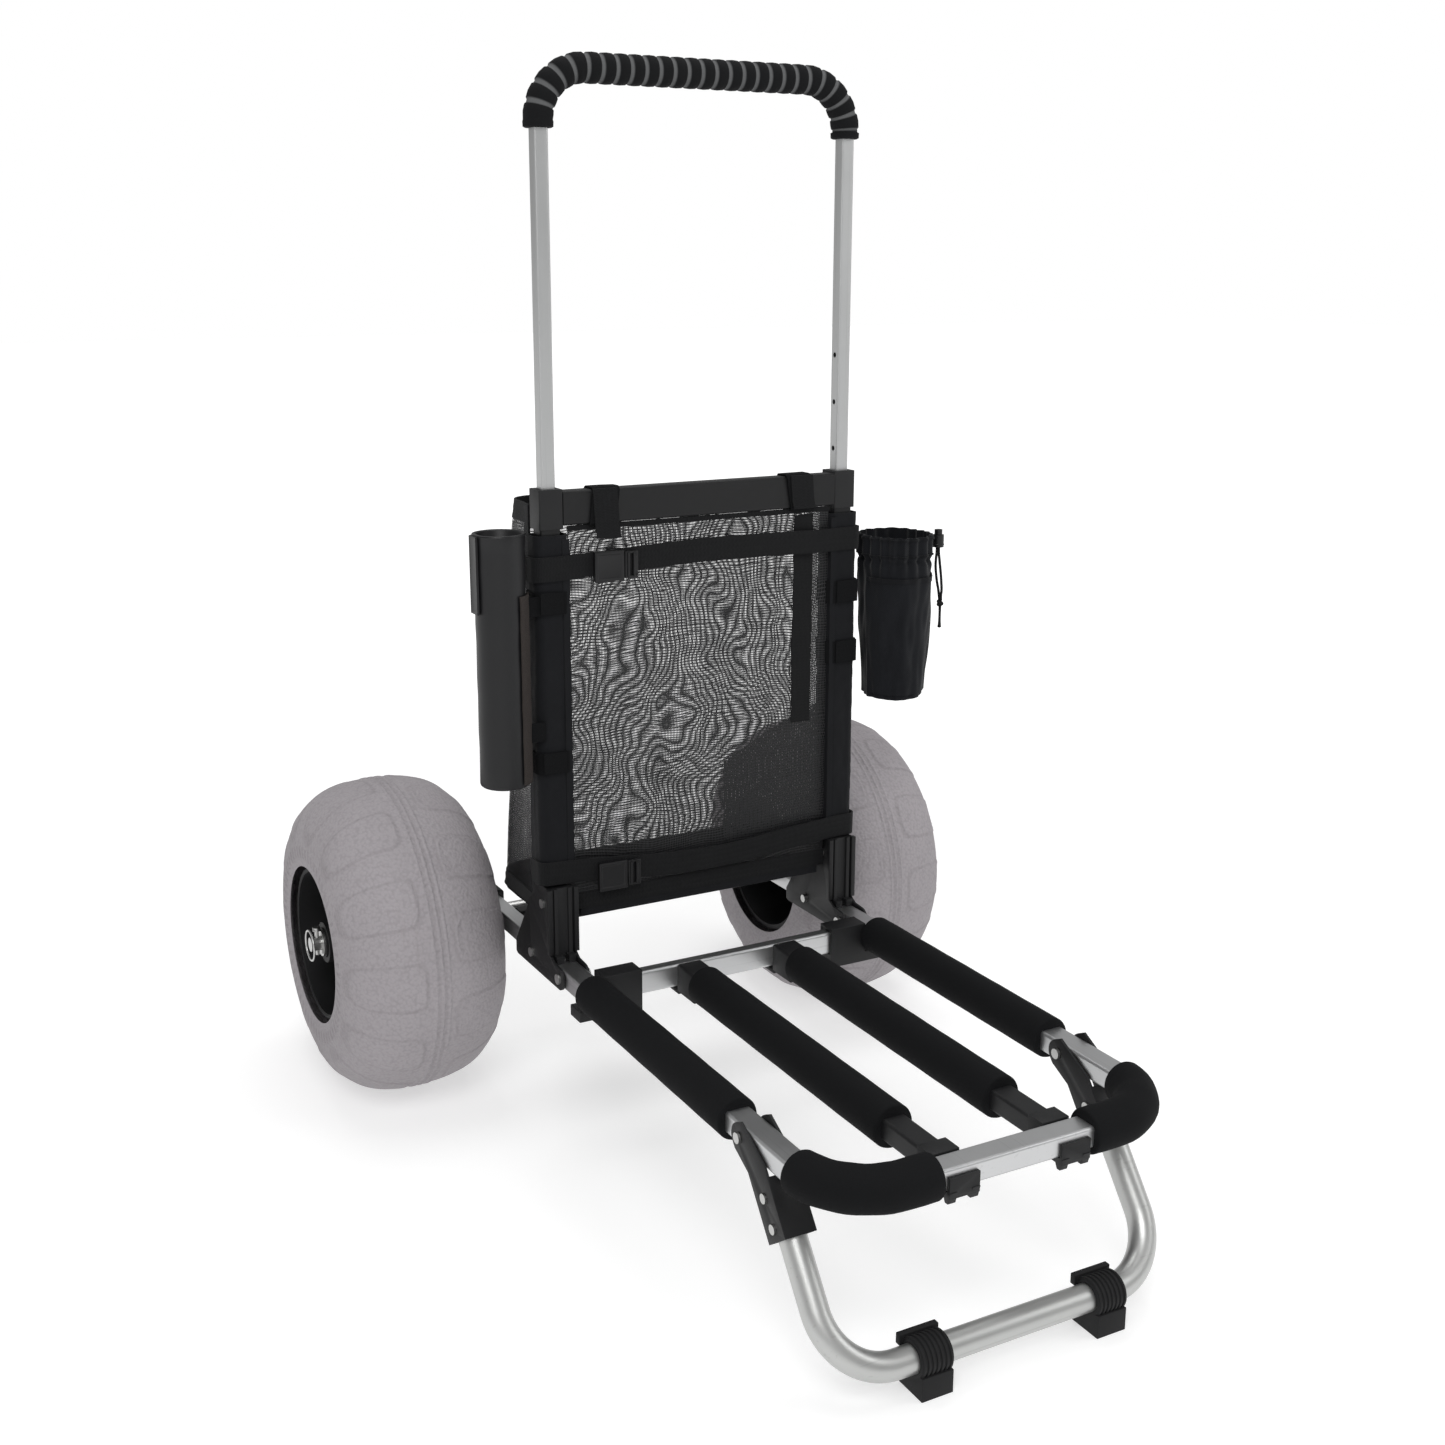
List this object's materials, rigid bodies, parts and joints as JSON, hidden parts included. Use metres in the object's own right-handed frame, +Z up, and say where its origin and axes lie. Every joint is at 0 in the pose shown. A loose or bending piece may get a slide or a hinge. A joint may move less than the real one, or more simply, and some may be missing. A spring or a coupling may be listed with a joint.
{
  "type": "folding beach cart",
  "caption": "Folding beach cart with balloon wheels, telescopic U handle, foam-padded platform on a folding front leg, mesh rear bag, rod holder and drawstring pouch.",
  "frame": {"origin": "middle of the footprint, on the ground", "axes": "X across the cart to its right, Y from the platform's front back to the wheels, Z up"},
  "size_m": [0.7704, 0.972, 1.121],
  "materials": {
    "frame_black": "satin black powder coat",
    "tube_silver": "satin anodised",
    "tube_dark": "dark anodised",
    "leg_polished": "polished",
    "hardware": "zinc plated",
    "moulding_black": "black moulded nylon, light grain",
    "buckle_black": "semi-gloss black",
    "rod_holder_black": "smooth black",
    "foam_black": "closed-cell foam",
    "foot_rubber": "matte rubber",
    "tyre_grey": "warm grey, pebbled",
    "fabric_black": "woven polyester",
    "mesh_black": "open mesh with bound edges",
    "webbing_black": "ribbed webbing",
    "cord_black": "braided cord"
  },
  "bodies": {
    "back_frame": {"post_left": "frame_black", "post_right": "frame_black", "collar_left": "moulding_black", "collar_right": "moulding_black", "top_bar": "frame_black", "side_bracket_left": "moulding_black", "side_bracket_right": "moulding_black", "arm_left": "tube_silver", "arm_right": "tube_silver", "rear_cross_tube": "frame_black", "axle_blocks": "moulding_black", "axle": "hardware", "axle_washers": "hardware", "linchpins": "hardware", "frame_screws": "hardware", "hinge_bolts": "hardware", "post_sleeve_left": "fabric_black", "post_sleeve_right": "fabric_black", "mesh_bag": "mesh_black", "bag_loops": "webbing_black", "upper_strap": "webbing_black", "lower_strap": "webbing_black", "strap_buckles": "buckle_black", "rod_holder": "rod_holder_black", "rod_holder_straps": "webbing_black", "pouch": "fabric_black", "pouch_straps": "webbing_black", "cord_lock": "buckle_black", "drawcord_front": "cord_black", "drawcord_back": "cord_black", "drawcord_knot": "cord_black"},
    "left_peg": {"lock_peg_left": "hardware"},
    "right_peg": {"lock_peg_right": "hardware"},
    "lock_button": {"cord_lock_button": "buckle_black"},
    "handle": {"handle_tube": "tube_silver", "handle_grip": "foam_black", "handle_plugs": "moulding_black"},
    "platform": {"platform_rail": "tube_silver", "rear_crossbar": "tube_silver", "crossbar_sockets": "moulding_black", "slat_tubes": "tube_dark", "slat_sockets": "moulding_black", "slat_clips": "moulding_black", "rail_foam_left": "foam_black", "rail_foam_right": "foam_black", "corner_foam_left": "foam_black", "corner_foam_right": "foam_black", "slat_foam_left": "foam_black", "slat_foam_right": "foam_black", "leg_pivot_bolts": "hardware"},
    "front_leg": {"leg_tube": "leg_polished", "leg_brackets": "moulding_black", "leg_rivets": "hardware", "leg_feet": "foot_rubber"},
    "left_wheel": {"tyre_left": "tyre_grey", "rim_left": "moulding_black", "hub_bush_left": "moulding_black"},
    "right_wheel": {"tyre_right": "tyre_grey", "rim_right": "moulding_black", "hub_bush_right": "moulding_black"}
  },
  "joints": [
    {"name": "handle_slide", "type": "slide", "parent": "back_frame", "child": "handle", "axis": [0, 0, -1], "range_m": [0, 0.15]},
    {"name": "left_peg_slide", "type": "slide", "parent": "back_frame", "child": "left_peg", "axis": [-1, 0, 0], "range_m": [0, 0.004]},
    {"name": "right_peg_slide", "type": "slide", "parent": "back_frame", "child": "right_peg", "axis": [1, 0, 0], "range_m": [0, 0.004]},
    {"name": "cord_lock_press", "type": "slide", "parent": "back_frame", "child": "lock_button", "axis": [0, 0, -1], "range_m": [0, 0.003], "stiffness_N_per_m": 300},
    {"name": "platform_hinge", "type": "hinge", "parent": "back_frame", "child": "platform", "pos_m": [0, 0.0555, 0.193], "axis": [-1, 0, 0], "range_deg": [0, 90]},
    {"name": "leg_hinge", "type": "hinge", "parent": "platform", "child": "front_leg", "pos_m": [0, -0.33, 0.193], "axis": [1, 0, 0], "range_deg": [0, 92]},
    {"name": "left_wheel_spin", "type": "hinge", "parent": "back_frame", "child": "left_wheel", "pos_m": [-0.29, 0.308, 0.178], "axis": [1, 0, 0], "continuous": true},
    {"name": "right_wheel_spin", "type": "hinge", "parent": "back_frame", "child": "right_wheel", "pos_m": [0.29, 0.308, 0.178], "axis": [1, 0, 0], "continuous": true}
  ]
}
